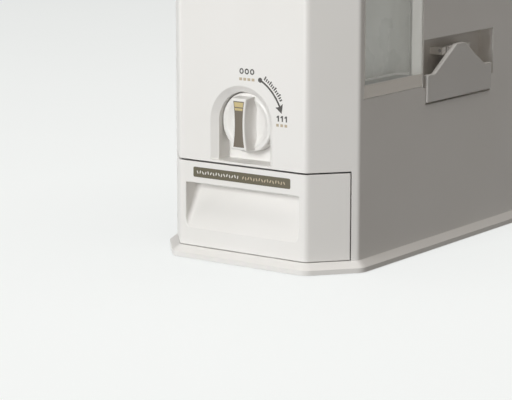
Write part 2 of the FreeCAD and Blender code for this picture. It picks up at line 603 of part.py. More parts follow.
# the front strip reaches forward behind the front panel
pad(b, "XY", Q(85.7, "85.7"), Q(88.0, "88"), lambda s: rect(s, -66.0, y0 + d.arch_deep + 2.5, 80.0, ys + 4.5))
cut(b, "XY", Q(85.0, "85"), Q(89.0, "89"), lambda s: rect(s, 33.5, cf + 2, 66.5, cb - 2))
HS = [(-35.0, -140.0), (-35.0, -50.0), (73.0, -140.0), (73.0, -50.0)]
cut(b, "XY", Q(85.0, "85"), Q(89.0, "89"), lambda s: [circ(s, x, y, 1.3) for x, y in HS])
hb = [s for s in subparts if s.Label == "drum_housing"][0]
cut(hb, "XY", Q(-33, "(-33)"), Q(-27.5, "(-27.5)"), lambda s: [circ(s, x, y, 1.5) for x, y in HS[:2]])
cb_ = [s for s in subparts if s.Label == "rice_chute"][0]
cut(cb_, "XY", Q(87.0, "87"), Q(91.0, "91"), lambda s: [circ(s, x, y, 1.5) for x, y in HS[2:]])
sb = new_body("housing_screws")
pad(sb, "XY", Q(92.4, "92.4"), Q(94.0, "94"), lambda s: [circ(s, x, y, 2.6) for x, y in HS[:2]])
pad(sb, "XY", Q(90.4, "90.4"), Q(92.0, "92"), lambda s: [circ(s, x, y, 2.6) for x, y in HS[2:]])
pad(sb, "XY", Q(86.0, "86"), Q(92.5, "92.5"), lambda s: [circ(s, x, y, 1.25) for x, y in HS[:2]])
pad(sb, "XY", Q(86.0, "86"), Q(90.5, "90.5"), lambda s: [circ(s, x, y, 1.25) for x, y in HS[2:]])

# ---------------------------------------------------------------- drawer
b = new_body("drawer_front")
ex, ey = d.flat_half + d.drawer_wrap * ux, y0 + d.drawer_wrap * uy
wl = d.wall
fi = d.flat_half - wl * TA
pad(b, "XY", d.drawer_low, d.drawer_top, lambda s: poly(s, [
    (-ex, ey), (-d.flat_half, y0), (d.flat_half, y0), (ex, ey),
    (ex - wl * uy, ey + wl * ux), (fi, y0 + wl), (-fi, y0 + wl), (-(ex - wl * uy), ey + wl * ux)]))
fillet(b, lambda e: line_along(e, Z) and near(abs(mid(e).x), num(d.flat_half)) and near(mid(e).y, num(y0)), d.edge_round)


def outer_edge(e):
    """Edges of the drawer front that lie on its outer skin."""
    m = mid(e)
    if abs(m.x) <= num(d.flat_half) - 4:
        return near(m.y, num(y0))
    line = num(y0) + (abs(m.x) - num(d.flat_half)) * num(d.chamf_dy) / num(d.chamf_dx)
    return abs(m.y - line) < 0.9


fillet(b, lambda e: outer_edge(e) and not (line_along(e, Z) and abs(mid(e).x) < num(ex) - 1), 0.6)
# pull scoop: a wedge-shaped pocket with a sloping back, in a housing of its own
sh, sd = d.scoop_half, d.scoop_deep
pad(b, "YZ", -(sh + 2.2), sh + 2.2, lambda s: poly(s, [
    (y0 + 1.5, d.scoop_low - 2.5), (y0 + sd + 2.2, d.scoop_top - 0.5), (y0 + sd + 2.2, d.scoop_top + 2.2), (y0 + 1.5, d.scoop_top + 2.2)]))
cut(b, "YZ", -sh, sh, lambda s: poly(s, [
    (y0 - 1, d.scoop_low), (y0, d.scoop_low), (y0 + sd, d.scoop_top), (y0 - 1, d.scoop_top)]))
slope = V(0, num(sd), num(d.scoop_top - d.scoop_low)).normalize()
try:
    fillet(b, lambda e: (line_along(e, slope, 1e-3) and near(abs(mid(e).x), num(sh)))
           or (line_along(e, X) and near(mid(e).y, num(y0 + sd)) and near(mid(e).z, num(d.scoop_top))), 4.0)
except Exception as err:
    print("scoop inner rounding left out:", err)
    bad_f = b.Tip
    b.removeObject(bad_f)
    doc.removeObject(bad_f.Name)
    doc.recompute()
try:
    fillet(b, lambda e: near(mid(e).y, num(y0)) and near(e.BoundBox.YLength, 0, 1e-3)
           and abs(mid(e).x) <= num(sh) + 0.01 and num(d.scoop_low) + 5 < mid(e).z < num(d.scoop_top) + 0.5, 0.9)
except Exception as err:
    print("scoop rim rounding left out:", err)
    bad_f = b.Tip
    b.removeObject(bad_f)
    doc.removeObject(bad_f.Name)
    doc.recompute()
# shallow seat for the strip
sl, sz = d.strip_half, d.strip_high / 2
cut(b, "XZ", y0 - 1, y0 + 0.5, lambda s: rect(s, -sl - 0.1, d.strip_mid - sz - 0.1, sl + 0.1, d.strip_mid + sz + 0.1))
fillet(b, lambda e: line_along(e, Y) and near(abs(mid(e).x), num(sl) + 0.1) and abs(mid(e).z - num(d.strip_mid)) < 6, 1.4)
# bosses for the tray screws
TS = [(sx * 68.0, z) for sx in (1, -1) for z in (20.0, 70.5)]
pad(b, "XZ", y0 + 9.0, y0 + d.tray_front, lambda s: [circ(s, x, z, 3.5) for x, z in TS])
cut(b, "XZ", y0 + 12.0, y0 + d.tray_front + 1, lambda s: [circ(s, x, z, 1.3) for x, z in TS])

b = new_body("drawer_strip")
pad(b, "XZ", y0 - 0.15, y0 + 0.5, lambda s: rect(s, -sl, d.strip_mid - sz, sl, d.strip_mid + sz))
fillet(b, lambda e: line_along(e, Y), 1.3)

b = new_body("drawer_tray")
tw, tf, tb = d.tray_half, y0 + d.tray_front, y0 + d.tray_back
pad(b, "XY", d.tray_low, d.tray_top, lambda s: rect(s, -tw, tf, tw, tb))
fillet(b, lambda e: line_along(e, Z) and mid(e).y > 0, 6.0)
fillet(b, lambda e: line_along(e, Z) and mid(e).y < -100, 3.0)
fillet(b, lambda e: near(mid(e).z, num(d.tray_low)) and near(e.BoundBox.ZLength, 0, 1e-3), 2.5)
t2 = d.tray_wall
cut(b, "XY", d.tray_low + t2, d.tray_top + 1, lambda s: rect(s, -tw + t2, tf + t2, tw - t2, tb - t2))
fillet(b, lambda e: line_along(e, Z) and near(abs(mid(e).x), num(tw - t2)), 4.0)
for sx in (1, -1):
    lo, hi = (tw - 0.3, Q(88.2, "88.2")) if sx > 0 else (Q(-88.2, "(-88.2)"), -tw + 0.3)
    pad(b, "YZ", lo, hi, lambda s: rect(s, y0 + 36, 60.0, y0 + 230, 62.6))
cut(b, "XZ", tf - 1, tf + 3, lambda s: [circ(s, x, z, 1.6) for x, z in TS])
tfn = num(tf)
sb = screws("drawer_screws", "XZ", TS, tfn + 2.0, tfn + 3.8, tfn - 11.0, tfn + 2.1, 3.0, 1.25)
slots(sb, "XZ", tfn + 2.9, tfn + 4.5, TS, 1.9)

for side, sx in (("right", 1), ("left", -1)):
    b = new_body("drawer_rail_" + side)

    def rx(a, c):
        return (Q(a, "%.6g" % a), Q(c, "%.6g" % c)) if sx > 0 else (Q(-c, "(%.6g)" % -c), Q(-a, "(%.6g)" % -a))
    lo, hi = rx(89.0, 92.5)
    pad(b, "YZ", lo, hi, lambda s: rect(s, y0 + 40, 56.2, y0 + 250, 66.8))
    lo, hi = rx(86.0, 89.2)
    pad(b, "YZ", lo, hi, lambda s: [rect(s, y0 + 40, 56.2, y0 + 250, 59.4), rect(s, y0 + 40, 63.2, y0 + 250, 66.8)])

b = new_body("drawer_stop")
pad(b, "XY", Q(3.2, "3.2"), Q(34, "34"), lambda s: rect(s, -40.0, tb + 6, 40.0, tb + 9))
pad(b, "XY", Q(3.2, "3.2"), Q(6, "6"), lambda s: rect(s, -40.0, tb + 8, 40.0, tb + 24))
b = new_body("stop_bumpers")
pad(b, "XZ", tb + 0.4, tb + 6, lambda s: [circ(s, sx * 28.0, 26.0, 4.0) for sx in (1, -1)])

# ---------------------------------------------------------------- tank, hopper and shelf
b = new_body("tank_shelf")
so_ = d.wall * 1.0
xf = d.flat_half - so_ * TA
fx = xf + (8.0 - so_) * (num(d.chamf_dx) / num(d.chamf_dy))
sx_, sy_ = half_w - so_, ye + so_ * TB
pk0, pk1, pkx = ys + d.pocket_front - 2.6, ys + d.pocket_back + 2.6, half_w - d.pocket_deep - 2.6
pad(b, "XY", d.shelf_low, d.shelf_top, lambda s: poly(s, [
    (-fx, y0 + 8), (fx, y0 + 8), (sx_, sy_), (sx_, pk0), (pkx, pk0), (pkx, pk1), (sx_, pk1), (sx_, yb - 12.5),
    (-sx_, yb - 12.5), (-sx_, pk1), (-pkx, pk1), (-pkx, pk0), (-sx_, pk0), (-sx_, sy_)]))
cut(b, "XY", d.shelf_low - 1, d.shelf_top + 1, lambda s: rect(s, -40.0, -152.0, 40.0, -20.0))
cut(b, "XY", d.shelf_low - 1, d.shelf_top + 1, lambda s: rect(s, -60.0, 0.0, 60.0, 120.0))

b = new_body("rice_tank")
th = d.tank_half
pad(b, "XY", d.shelf_top, d.tank_top, lambda s: rect(s, -th, d.tank_front, th, d.tank_back))
fillet(b, lambda e: line_along(e, Z), 6.0)
cut(b, "XY", d.shelf_top + 2, d.tank_top + 1, lambda s: rect(s, -th + 2, d.tank_front + 2, th - 2, d.tank_back - 2))
fillet(b, lambda e: line_along(e, Z) and near(abs(mid(e).x), num(th) - 2), 4.0)
cut(b, "XY", d.shelf_top - 1, d.shelf_top + 3, lambda s: rect(s, -60.0, d.tank_front + 6, 60.0, d.tank_back - 12))

b = new_body("hopper_funnel")
HT = 290.0
sk_a = sketch(b, "XY", Q(153.4, "153.4"))
rect(sk_a, -21.5, -149.0, 21.5, -37.5)
sk_b = sketch(b, "XY", Q(HT, "290"))
rect(sk_b, -th + 3.4, d.tank_front + 3.4, th - 3.4, d.tank_back - 3.4)
loft(b, "Additive", [sk_a, sk_b])
sk_a2 = sketch(b, "XY", Q(153.3, "153.3"))
rect(sk_a2, -19.5, -147.0, 19.5, -39.5)
sk_b2 = sketch(b, "XY", Q(HT + 0.1, "290.1"))
rect(sk_b2, -th + 5.4, d.tank_front + 5.4, th - 5.4, d.tank_back - 5.4)
v = b.Shape.Volume
loft(b, "Subtractive", [sk_a2, sk_b2])
assert b.Shape.Volume < v - 1000

# ---------------------------------------------------------------- window
b = new_body("side_window")
pad(b, "YZ", half_w - d.pane_thick, half_w, lambda s: rect(s, ys + d.win_front, d.win_low, ys + d.win_back, d.win_high))
fillet(b, lambda e: line_along(e, X), 1.5)

b = new_body("window_liner")
lx0 = half_w - d.liner_deep
xo, xi = num(lx0), num(lx0) - 1.5
R1 = 14.0
cxn, cyn = xo + R1, num(ys) + 74.0
path_o, path_i = [], []
for k in range(0, 9):
    a = math.radians(k * 72.0 / 8)
    path_o.append((cxn - R1 * math.cos(a), cyn + R1 * math.sin(a)))
    path_i.append((cxn - (R1 + 1.5) * math.cos(a), cyn + (R1 + 1.5) * math.sin(a)))
ysn = num(ys)
front = [(num(half_w) - 2.7, ysn + 7.4), (num(half_w) - 2.7, ysn + 9.0), (xo, ysn + 9.0)]
ring = front + path_o + path_i[::-1] + [(xi, ysn + 7.4)]
pad(b, "XY", d.shelf_top, d.clear_high, lambda s: poly(s, ring))
lid_pts = [(num(half_w) - 2.7, ysn + 7.4), (num(half_w) - 2.7, ysn + 88.0)] + [(path_o[-1][0], path_o[-1][1])] + path_i[::-1] + [(xi, ysn + 7.4)]
pad(b, "XY", d.clear_high - 0.5, d.clear_high + 1.2, lambda s: poly(s, lid_pts))

# ---------------------------------------------------------------- carry handles
for side, sx in (("right", 1), ("left", -1)):
    def rx(a, c):
        if sx > 0:
            return a, c
        return -c, -a
    xw = half_w - d.wall
    xb_ = half_w - d.pocket_deep
    b = new_body("handle_pocket_" + side)
    lo, hi = rx(xb_ - 2, xw)
    pad(b, "YZ", lo, hi, lambda s: rect(s, ys + d.pocket_front - 2, d.pocket_low - 2, ys + d.pocket_back + 2, d.pocket_high + 2))
    lo, hi = rx(xb_, xw + 1)
    cut(b, "YZ", lo, hi, lambda s: rect(s, ys + d.pocket_front, d.pocket_low, ys + d.pocket_back, d.pocket_high))
    lo, hi = rx(xb_ - 0.5, Q(91.8, "91.8"))
    pad(b, "YZ", lo, hi, lambda s: [rect(s, ys + 137, 167.3, ys + 143.5, 173.6), rect(s, ys + 178.5, 167.3, ys + 185, 173.6)])
    cut(b, "XZ", ys + 136, ys + 186, lambda s: circ(s, sx * d.pin_x, d.pin_z, d.pin_rad))

    b = new_body("handle_" + side)
    lo, hi = rx(half_w + d.grip_proud - d.grip_thick, half_w + d.grip_proud)
    mid_s = (d.grip_front + d.grip_back) / 2
    pad(b, "YZ", lo, hi, lambda s: poly(s, [
        (ys + d.grip_front, d.grip_low), (ys + d.grip_back, d.grip_low), (ys + d.grip_back, d.grip_step), (ys + d.grip_back - 12, d.grip_step),
        (ys + mid_s + 7, d.grip_top), (ys + mid_s - 7, d.grip_top), (ys + d.grip_front + 12, d.grip_step), (ys + d.grip_front, d.grip_step)]))
    fillet(b, lambda e: line_along(e, X) and mid(e).z > num(d.grip_step) + 5, 5.0)
    fillet(b, lambda e: line_along(e, X) and (near(mid(e).y, num(ys + d.grip_front)) or near(mid(e).y, num(ys + d.grip_back))), 1.2)
    fillet(b, lambda e: near(abs(mid(e).x), num(half_w + d.grip_proud)) and near(e.BoundBox.XLength, 0, 1e-3), 1.1)
    xk = num(half_w + d.grip_proud - d.grip_thick) + 0.4
    lo, hi = rx(d.pin_x, Q(xk, "%.6g" % xk))
    pad(b, "YZ", lo, hi, lambda s: rect(s, ys + 145.0, d.pin_z - 3.5, ys + 177.0, d.pin_z + 3.5))
    pad(b, "XZ", ys + 145.0, ys + 177.0, lambda s: circ(s, sx * d.pin_x, d.pin_z, 3.5))
    cut(b, "XZ", ys + 144, ys + 178, lambda s: circ(s, sx * d.pin_x, d.pin_z, d.pin_rad + d.run_fit))

    b = new_body("handle_pin_" + side)
    pad(b, "XZ", ys + 137, ys + 185, lambda s: circ(s, sx * d.pin_x, d.pin_z, d.pin_rad))

# ---------------------------------------------------------------- top frame and lid
b = new_body("top_frame")
pad(b, "XY", d.shell_top, d.frame_top, lambda s: poly(s, outline(0)))
vert_round(b, 0, 0)
fillet(b, lambda e: line_along(e, Z) and near(mid(e).y, num(yb)), 3.0)
pad(b, "XY", Q(340.5, "340.5"), d.shell_top + 1, lambda s: rect(s, -73.2, d.tank_front + 3.8, 73.2, d.tank_back - 3.8))
cut(b, "XY", Q(339, "339"), d.frame_top + 1, lambda s: rect(s, -70.0, -150.0, 70.0, 148.0))
# rear bridge and two hinge lugs
pad(b, "XY", d.frame_top - 1, Q(383.5, "383.5"), lambda s: rect(s, -84.0, 170.2, 84.0, yb))
HY, HZ = 163.5, 379.0
for sx in (1, -1):
    lo, hi = (Q(62, "62"), Q(68, "68")) if sx > 0 else (Q(-68, "(-68)"), Q(-62, "(-62)"))
    pad(b, "YZ", lo, hi, lambda s: poly(s, [(156.5, 361.5), (171.0, 361.5), (171.0, 382.8), (159.5, 382.8)]))
cut(b, "YZ", Q(-69, "(-69)"), Q(69, "69"), lambda s: circ(s, HY, HZ, 2.0))
# four posts receive the frame screws from above, one in each corner
FS = [(sx * 82.0, y) for sx in (1, -1) for y in (-125.0, 140.0)]
cut(b, "XY", d.frame_top - 2.4, d.frame_top + 1, lambda s: [circ(s, x, y, 3.4) for x, y in FS])
cut(b, "XY", d.shell_top - 1, d.frame_top + 1, lambda s: [circ(s, x, y, 1.7) for x, y in FS])

b = new_body("lid")
pad(b, "XY", d.lid_low, d.lid_top, lambda s: poly(s, outline(0, back=Q(166.4, "166.4"))))
vert_round(b, 0, 0)
fillet(b, lambda e: near(mid(e).z, num(d.lid_top)) and near(e.BoundBox.ZLength, 0, 1e-3) and mid(e).y < 166.0, 5.0)
cut(b, "XY", d.lid_low - 1, d.lid_top - 2.5, lambda s: poly(s, outline(d.wall, back=Q(163.9, "163.9"))))
# ring rib that carries the seal
pad(b, "XY", Q(362.9, "362.9"), d.lid_top - 2.0, lambda s: rect(s, -69.0, -148.8, 69.0, 146.8))
cut(b, "XY", d.lid_low - 1, d.lid_top - 2.5, lambda s: rect(s, -66.8, -146.6, 66.8, 144.6))
# hinge barrels beside each lug, and the clearance slots for the lugs
for x1, x2 in ((55.0, 61.5), (68.5, 75.0), (-61.5, -55.0), (-75.0, -68.5)):
    pad(b, "YZ", Q(x1, "(%.6g)" % x1), Q(x2, "(%.6g)" % x2), lambda s: rect(s, HY - 4.5, HZ - 4.5, 166.4, 384.0))
for x1, x2 in ((61.5, 68.5), (-68.5, -61.5)):
    cut(b, "XY", d.lid_low - 1, d.lid_top + 1, lambda s: rect(s, x1, 150.0, x2, 168.0))
cut(b, "YZ", Q(-80, "(-80)"), Q(80, "80"), lambda s: circ(s, HY, HZ, 2.0 + d.run_fit))
# finger notch at the front
cut(b, "YZ", Q(-20, "(-20)"), Q(20, "20"), lambda s: rect(s, y0 - 1, d.lid_low - 1, y0 + 1.4, d.lid_low + 6))

b = new_body("lid_hinge_pins")
for x1, x2 in ((56.0, 74.0), (-74.0, -56.0)):
    pad(b, "YZ", Q(x1, "(%.6g)" % x1), Q(x2, "(%.6g)" % x2), lambda s: circ(s, HY, HZ, 2.0))

b = new_body("lid_seal")
pad(b, "XY", Q(358.0, "358"), Q(362.9, "362.9"), lambda s: rect(s, -69.0, -148.8, 69.0, 146.8))
fillet(b, lambda e: line_along(e, Z), 3.0)
cut(b, "XY", Q(357.0, "357"), Q(364, "364"), lambda s: rect(s, -66.8, -146.6, 66.8, 144.6))

b = new_body("desiccant_box")
pad(b, "XY", Q(367.0, "367"), d.lid_top - 2.5, lambda s: circ(s, 0, -20.0, 30.0))
cut(b, "XY", Q(366.0, "366"), d.lid_top - 4.0, lambda s: circ(s, 0, -20.0, 28.0))
b = new_body("desiccant_cap")
pad(b, "XY", Q(364.6, "364.6"), Q(367.0, "367"), lambda s: circ(s, 0, -20.0, 30.0))
cut(b, "XY", Q(364.0, "364"), Q(368.0, "368"), lambda s: [rect(s, -20.0, -20.0 + k * 8 - 1.2, 20.0, -20.0 + k * 8 + 1.2) for k in (-2, -1, 0, 1, 2)])

sb = new_body("frame_screws")
pad(sb, "XY", Q(359.8, "359.8"), Q(361.6, "361.6"), lambda s: [circ(s, x, y, 3.1) for x, y in FS])
pad(sb, "XY", Q(342.0, "342"), Q(359.9, "359.9"), lambda s: [circ(s, x, y, 1.5) for x, y in FS])
slots(sb, "XY", 360.7, 362.5, FS, 1.9)

# ---------------------------------------------------------------- checks and export
def finish():
    doc.recompute()
    bad = []
    for o in doc.Objects:
        if "Invalid" in o.State or "Error" in o.State:
            bad.append("%s %s" % (o.Name, o.State))
    for s in subparts:
        if s.Shape.isNull() or not s.Shape.isValid() or s.Shape.Volume <= 0:
            bad.append(s.Label + " shape")
    if bad:
        raise RuntimeError("; ".join(bad))
    for f in os.listdir("parts"):
        if f.endswith(".step"):
            os.remove(os.path.join("parts", f))
    for s in subparts:
        s.Shape.exportStep("parts/%s.step" % s.Label)
        bb = s.Shape.BoundBox
        print("%-22s vol %10.1f solids %2d  x %.1f %.1f  y %.1f %.1f  z %.1f %.1f" % (
            s.Label, s.Shape.Volume, len(s.Shape.Solids), bb.XMin, bb.XMax, bb.YMin, bb.YMax, bb.ZMin, bb.ZMax))
    print(len(subparts), "sub-parts")


finish()
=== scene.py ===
"""Looks of the rice dispenser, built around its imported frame. Lengths in the helpers are millimetres."""

import json
import math

import bmesh
import bpy
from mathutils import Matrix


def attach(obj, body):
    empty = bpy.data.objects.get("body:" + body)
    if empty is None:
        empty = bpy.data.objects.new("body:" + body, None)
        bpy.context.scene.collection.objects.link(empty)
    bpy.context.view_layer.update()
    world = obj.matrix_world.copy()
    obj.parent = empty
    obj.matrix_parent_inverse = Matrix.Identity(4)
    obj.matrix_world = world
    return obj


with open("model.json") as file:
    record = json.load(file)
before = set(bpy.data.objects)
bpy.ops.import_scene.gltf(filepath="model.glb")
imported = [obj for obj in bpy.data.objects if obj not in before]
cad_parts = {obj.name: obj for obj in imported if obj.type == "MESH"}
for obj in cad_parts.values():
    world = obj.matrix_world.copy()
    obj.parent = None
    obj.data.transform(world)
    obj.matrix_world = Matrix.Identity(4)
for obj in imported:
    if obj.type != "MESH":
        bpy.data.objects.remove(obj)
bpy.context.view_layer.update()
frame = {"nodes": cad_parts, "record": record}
nodes = frame["nodes"]
scene = bpy.context.scene
scene.view_settings.view_transform = "Standard"
scene.cycles.diffuse_bounces = 4

MM = 0.001
Y0 = -177.5  # front plane


# ---------------------------------------------------------------- camera
cam_data = bpy.data.cameras.new("camera")
cam_data.sensor_fit = "HORIZONTAL"
cam_data.sensor_width = 36.0
cam_data.lens = 152.498
cam_data.clip_start = 0.05
cam_data.clip_end = 60.0
cam = bpy.data.objects.new("camera", cam_data)
cam.location = (1.04973, -1.62115, 0.4056)
cam.rotation_euler = (math.radians(90 - 11.0858), 0.0, math.radians(35.6222))
scene.collection.objects.link(cam)
scene.camera = cam


# ---------------------------------------------------------------- materials
def new_mat(name):
    m = bpy.data.materials.new(name)
    m.use_nodes = True
    nt = m.node_tree
    nt.nodes.clear()
    out = nt.nodes.new("ShaderNodeOutputMaterial")
    b = nt.nodes.new("ShaderNodeBsdfPrincipled")
    nt.links.new(b.outputs["BSDF"], out.inputs["Surface"])
    return m, nt, b


def coords(nt, scale=(1, 1, 1)):
    tc = nt.nodes.new("ShaderNodeTexCoord")
    mp = nt.nodes.new("ShaderNodeMapping")
    mp.inputs["Scale"].default_value = scale
    nt.links.new(tc.outputs["Object"], mp.inputs["Vector"])
    return mp.outputs["Vector"]


def noise(nt, vec, scale, detail=2.0, rough=0.5):
    n = nt.nodes.new("ShaderNodeTexNoise")
    n.inputs["Scale"].default_value = scale
    n.inputs["Detail"].default_value = detail
    n.inputs["Roughness"].default_value = rough
    nt.links.new(vec, n.inputs["Vector"])
    return n.outputs["Fac"]


def ramp(nt, fac, a, b, lo=0.35, hi=0.65):
    r = nt.nodes.new("ShaderNodeValToRGB")
    r.color_ramp.elements[0].position = lo
    r.color_ramp.elements[0].color = (*a, 1)
    r.color_ramp.elements[1].position = hi
    r.color_ramp.elements[1].color = (*b, 1)
    nt.links.new(fac, r.inputs["Fac"])
    return r.outputs["Color"]


def remap(nt, fac, lo, hi, a=0.3, b=0.7):
    r = nt.nodes.new("ShaderNodeMapRange")
    r.inputs["From Min"].default_value = a
    r.inputs["From Max"].default_value = b
    r.inputs["To Min"].default_value = lo
    r.inputs["To Max"].default_value = hi
    nt.links.new(fac, r.inputs["Value"])
    return r.outputs["Result"]


def bump(nt, b, height, strength, distance):
    n = nt.nodes.new("ShaderNodeBump")
    n.inputs["Strength"].default_value = strength
    n.inputs["Distance"].default_value = distance
    nt.links.new(height, n.inputs["Height"])
    nt.links.new(n.outputs["Normal"], b.inputs["Normal"])


def moulded(name, a, b_, rough, grain, depth, strength=0.25, coat=0.0, ior=1.5, spread=0.05, stretch=(1, 1, 1)):
    """Moulded polymer or print: slow colour drift, uneven gloss and a fine tool grain."""
    m, nt, b = new_mat(name)
    v = coords(nt, stretch)
    slow = noise(nt, v, 9.0, 3.0)
    nt.links.new(ramp(nt, slow, a, b_), b.inputs["Base Color"])
    nt.links.new(remap(nt, noise(nt, v, 34.0, 4.0), rough - spread, rough + spread), b.inputs["Roughness"])
    bump(nt, b, noise(nt, v, grain, 3.0, 0.6), strength, depth)
    b.inputs["IOR"].default_value = ior
    if coat:
        b.inputs["Coat Weight"].default_value = coat
        b.inputs["Coat Roughness"].default_value = 0.12
    return m


def metal(name, a, b_, rough, stretch, metallic=1.0):
    m, nt, b = new_mat(name)
    v = coords(nt, stretch)
    brushed = noise(nt, v, 420.0, 3.0, 0.6)
    nt.links.new(ramp(nt, brushed, a, b_, 0.3, 0.7), b.inputs["Base Color"])
    nt.links.new(remap(nt, brushed, rough - 0.07, rough + 0.07), b.inputs["Roughness"])
    bump(nt, b, brushed, 0.2, 0.00002)
    b.inputs["Metallic"].default_value = metallic
    return m


def clear(name, a, b_, rough, ior, depth, lamps=False):
    m, nt, b = new_mat(name)
    v = coords(nt)
    nt.links.new(ramp(nt, noise(nt, v, 11.0, 2.0), a, b_), b.inputs["Base Color"])
    nt.links.new(remap(nt, noise(nt, v, 45.0, 3.0), rough * 0.7, rough * 1.4), b.inputs["Roughness"])
    bump(nt, b, noise(nt, v, 60.0, 2.0), 0.12, depth)
    b.inputs["Transmission Weight"].default_value = 1.0
    b.inputs["IOR"].default_value = ior
    if lamps:
        # lamp rays pass straight through the pane
        out = nt.nodes["Material Output"]
        tr = nt.nodes.new("ShaderNodeBsdfTransparent")
        tr.inputs["Color"].default_value = (0.86, 0.865, 0.86, 1)
        lp = nt.nodes.new("ShaderNodeLightPath")
        mix = nt.nodes.new("ShaderNodeMixShader")
        nt.links.new(lp.outputs["Is Shadow Ray"], mix.inputs["Fac"])
        nt.links.new(b.outputs["BSDF"], mix.inputs[1])
        nt.links.new(tr.outputs["BSDF"], mix.inputs[2])
        nt.links.new(mix.outputs["Shader"], out.inputs["Surface"])
    return m


MAT = {
    "ivory_abs": moulded("ivory_abs", (0.807, 0.793, 0.764), (0.824, 0.810, 0.787), 0.40, 2600.0, 0.00003, 0.22, coat=0.06),
    # a darker copy of the casing's ivory, painted shade for the handles
    "ivory_painted_shade": moulded("ivory_painted_shade", (0.690, 0.678, 0.654), (0.705, 0.693, 0.674), 0.40, 2600.0, 0.00003, 0.22, coat=0.06),
    "inner_white": moulded("inner_white", (0.725, 0.724, 0.712), (0.748, 0.747, 0.736), 0.46, 1800.0, 0.00004, 0.25),
    "acetal": moulded("acetal", (0.651, 0.651, 0.632), (0.689, 0.689, 0.671), 0.33, 900.0, 0.00003, 0.18),
    # the handle pockets' white is paler than the casing's ivory: painted light that lifts the deep pockets out of
    # their shade
    "pocket_dark": moulded("pocket_dark", (0.875, 0.856, 0.822), (0.909, 0.893, 0.857), 0.50, 1500.0, 0.00006, 0.4),
    "rubber_grey": moulded("rubber_grey", (0.044, 0.044, 0.044), (0.061, 0.061, 0.061), 0.82, 1100.0, 0.00008, 0.5),
    "steel": metal("steel", (0.52, 0.52, 0.53), (0.68, 0.68, 0.69), 0.30, (1, 1, 8)),
    "clear_tank": clear("clear_tank", (0.88, 0.90, 0.90), (0.92, 0.93, 0.93), 0.10, 1.58, 0.00006),
    "window_clear": clear("window_clear", (0.850, 0.857, 0.850), (0.862, 0.868, 0.862), 0.03, 1.25, 0.00002, lamps=True),
    # the window liner's grey stands for white plastic seen through a smoky pane: partly the pane's tint, partly
    # painted shade
    "liner_grey": moulded("liner_grey", (0.515, 0.515, 0.485), (0.556, 0.555, 0.523), 0.28, 1400.0, 0.00002, 0.12, coat=0.4),
    # dark floor sheet of the window well: painted shade on a white shelf
    "liner_floor_painted_shade": moulded("liner_floor_painted_shade", (0.278, 0.275, 0.262), (0.319, 0.315, 0.297), 0.34, 1400.0, 0.00002, 0.15),
    "border": moulded("border", (0.489, 0.450, 0.413), (0.509, 0.469, 0.431), 0.60, 1800.0, 0.00003, 0.2),
    # pale glossy bead: a painted highlight for the glint on the liner's foot fillet
    "bead_painted_highlight": moulded("bead_painted_highlight", (0.895, 0.895, 0.880), (0.927, 0.927, 0.912), 0.30, 1400.0, 0.00002, 0.15, coat=0.3),
    "inlay_taupe": moulded("inlay_taupe", (0.160, 0.135, 0.103), (0.175, 0.149, 0.116), 0.42, 1500.0, 0.00003, 0.3, stretch=(6, 6, 1)),
    "gold_foil": metal("gold_foil", (0.520, 0.419, 0.200), (0.596, 0.493, 0.260), 0.46, (1, 1, 8), 0.3),
    "strip_olive": moulded("strip_olive", (0.121, 0.106, 0.066), (0.134, 0.118, 0.075), 0.44, 1700.0, 0.00003, 0.25),
    "print_dark": moulded("print_dark", (0.060, 0.055, 0.051), (0.071, 0.066, 0.061), 0.50, 2200.0, 0.00002, 0.2),
    "print_tan": moulded("print_tan", (0.465, 0.383, 0.270), (0.497, 0.415, 0.299), 0.48, 2200.0, 0.00002, 0.2),
    "print_pale": moulded("print_pale", (0.670, 0.651, 0.613), (0.706, 0.690, 0.655), 0.48, 2200.0, 0.00002, 0.2),
}

for row in frame["record"]["subparts"]:
    o = nodes[row["node"]]
    m = MAT[row["material_slot"]]
    if not o.material_slots:
        o.data.materials.append(m)
    for s in o.material_slots:
        s.material = m
# the handles get a darker copy of the casing's ivory: painted shade, so they sit as dark as the shaded side
for name in ("handle_right", "handle_left"):
    for s in nodes[name].material_slots:
        s.material = MAT["ivory_painted_shade"]


# ---------------------------------------------------------------- prints on the front
def prism(name, faces, y_front, y_back, mat, body):
    """Thin closed slabs in the front plane. A face is one loop of (x, z), or a pair of equal loops for a ring."""
    bm = bmesh.new()
    for f in faces:
        if isinstance(f[0][0], (tuple, list)):
            outer, inner = f
            n = len(outer)
            v = {}
            for k, loop in (("o", outer), ("i", inner)):
                for d, y in (("f", y_front), ("b", y_back)):
                    v[k + d] = [bm.verts.new((x * MM, y * MM, z * MM)) for x, z in loop]
            for a in range(n):
                c = (a + 1) % n
                bm.faces.new((v["of"][a], v["of"][c], v["if"][c], v["if"][a]))
                bm.faces.new((v["ob"][a], v["ib"][a], v["ib"][c], v["ob"][c]))
                bm.faces.new((v["of"][a], v["ob"][a], v["ob"][c], v["of"][c]))
                bm.faces.new((v["if"][a], v["if"][c], v["ib"][c], v["ib"][a]))
        else:
            n = len(f)
            vf = [bm.verts.new((x * MM, y_front * MM, z * MM)) for x, z in f]
            vb = [bm.verts.new((x * MM, y_back * MM, z * MM)) for x, z in f]
            bm.faces.new(vf)
            bm.faces.new(vb[::-1])
            for a in range(n):
                c = (a + 1) % n
                bm.faces.new((vf[a], vb[a], vb[c], vf[c]))
    bmesh.ops.recalc_face_normals(bm, faces=bm.faces)
    me = bpy.data.meshes.new(name)
    bm.to_mesh(me)
    bm.free()
    me.materials.append(MAT[mat])
    o = bpy.data.objects.new(name, me)
    scene.collection.objects.link(o)
    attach(o, body)
    return o


